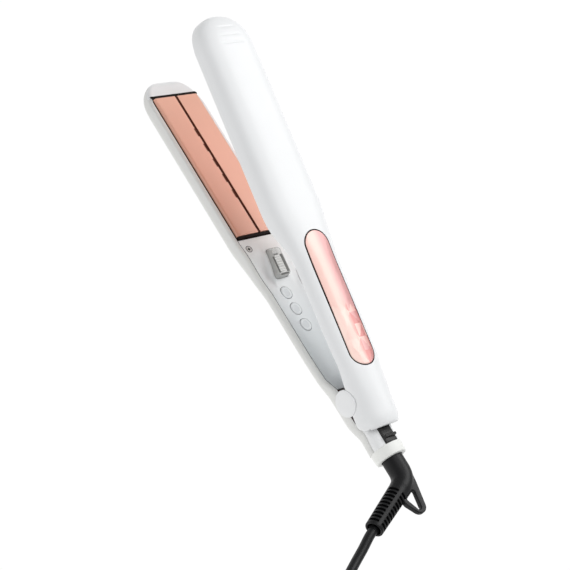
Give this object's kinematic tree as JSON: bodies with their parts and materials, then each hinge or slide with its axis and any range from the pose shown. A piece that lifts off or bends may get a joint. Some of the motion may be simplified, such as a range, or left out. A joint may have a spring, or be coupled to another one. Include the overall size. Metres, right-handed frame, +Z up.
{
  "type": "hair straightener",
  "caption": "Steam hair straightener with two hinged arms, floating plates, buttons, a lock slider, a lift-out water tank and a swivel cord with a plug.",
  "frame": {"origin": "on the flat that the lower arm lies on, straight below the hinge axis", "axes": "+X along the lower arm from the hinge to the tip, +Z up, +Y to the side that the cord leaves"},
  "size_m": [0.4489, 0.1234, 0.0858],
  "materials": {
    "white_shell": "smooth glossy moulded plastic",
    "plate_rose": "rose-gold ceramic coat, semi-gloss",
    "inlay_rose": "rose-gold gloss trim",
    "black_plastic": "satin black plastic",
    "ivory_plastic": "satin off-white plastic",
    "clear_tank": "smoky clear plastic, wall 1 mm",
    "black_rubber": "satin black cord and relief",
    "steel": "plain steel",
    "aluminium": "cast aluminium",
    "inner_plastic": "plain moulded plastic",
    "heater_ceramic": "fired ceramic strip",
    "board_green": "circuit board",
    "wire_red": "silicone wire",
    "brass": "plain brass pin"
  },
  "bodies": {
    "root": {"lower_shell": "white_shell", "lower_inner_cover": "white_shell", "tail_cover": "white_shell", "lower_plate_frame": "black_plastic", "hinge_bracket": "inner_plastic", "hinge_pin": "steel", "opening_spring": "steel", "collar_ring": "ivory_plastic", "swivel_bush": "inner_plastic", "steam_generator": "aluminium", "steam_tube": "inner_plastic", "tank_seat": "inner_plastic", "control_board": "board_green", "button_switches": "steel", "thermal_fuse": "heater_ceramic", "power_wires": "wire_red", "lower_cover_screws": "steel", "lower_plate_springs": "steel", "cord_coil": "black_rubber", "plug_body": "black_rubber", "plug_pins": "brass"},
    "lower_plates": {"lower_plate_near": "plate_rose", "lower_plate_far": "plate_rose", "lower_heat_spreader": "aluminium", "lower_heater": "heater_ceramic", "lower_sensor": "heater_ceramic"},
    "upper_arm": {"upper_shell": "white_shell", "upper_inner_cover": "white_shell", "handle_inlay": "inlay_rose", "upper_plate_frame": "black_plastic", "hinge_knuckle": "inner_plastic", "upper_cover_screws": "steel", "upper_plate_springs": "steel", "arm_wires": "wire_red"},
    "upper_plates": {"upper_plate_near": "plate_rose", "upper_plate_far": "plate_rose", "upper_heat_spreader": "aluminium", "upper_heater": "heater_ceramic", "upper_sensor": "heater_ceramic"},
    "power_key": {"power_button": "white_shell"},
    "up_key": {"up_button": "white_shell"},
    "down_key": {"down_button": "white_shell"},
    "lock": {"lock_slider": "black_plastic"},
    "tank": {"water_tank": "clear_tank", "tank_stopper": "black_rubber"},
    "swivel": {"strain_relief": "black_rubber", "swivel_sleeve": "black_plastic", "cord": "black_rubber"}
  },
  "joints": [
    {"name": "arm_hinge", "type": "hinge", "parent": "root", "child": "upper_arm", "pos_m": [0, 0, 0.01635], "axis": [0, -1, 0], "range_deg": [-13.1, 0], "stiffness_Nm_per_rad": 0.2, "springref_deg": 57.3, "deforming": ["opening_spring", "arm_wires"]},
    {"name": "lower_plate_float", "type": "slide", "parent": "root", "child": "lower_plates", "axis": [0, 0, -1], "range_m": [0, 0.0009], "stiffness_N_per_m": 2000, "springref_m": -0.002, "deforming": ["lower_plate_springs"]},
    {"name": "upper_plate_float", "type": "slide", "parent": "upper_arm", "child": "upper_plates", "axis": [-0.2267, 0, 0.974], "range_m": [0, 0.0009], "stiffness_N_per_m": 2000, "springref_m": -0.002, "deforming": ["upper_plate_springs"]},
    {"name": "power_press", "type": "slide", "parent": "root", "child": "power_key", "axis": [0, 0, -1], "range_m": [0, 0.0004], "stiffness_N_per_m": 400, "springref_m": -0.001},
    {"name": "up_press", "type": "slide", "parent": "root", "child": "up_key", "axis": [0, 0, -1], "range_m": [0, 0.0004], "stiffness_N_per_m": 400, "springref_m": -0.001},
    {"name": "down_press", "type": "slide", "parent": "root", "child": "down_key", "axis": [0, 0, -1], "range_m": [0, 0.0004], "stiffness_N_per_m": 400, "springref_m": -0.001},
    {"name": "lock_slide", "type": "slide", "parent": "root", "child": "lock", "axis": [1, 0, 0], "range_m": [0, 0.0035]},
    {"name": "tank_lift", "type": "slide", "parent": "root", "child": "tank", "axis": [0, 0, 1], "range_m": [0, 0.014]},
    {"name": "cord_swivel", "type": "hinge", "parent": "root", "child": "swivel", "pos_m": [-0.037, 0, 0.0106], "axis": [1, 0, 0], "continuous": true, "deforming": ["cord"]}
  ]
}
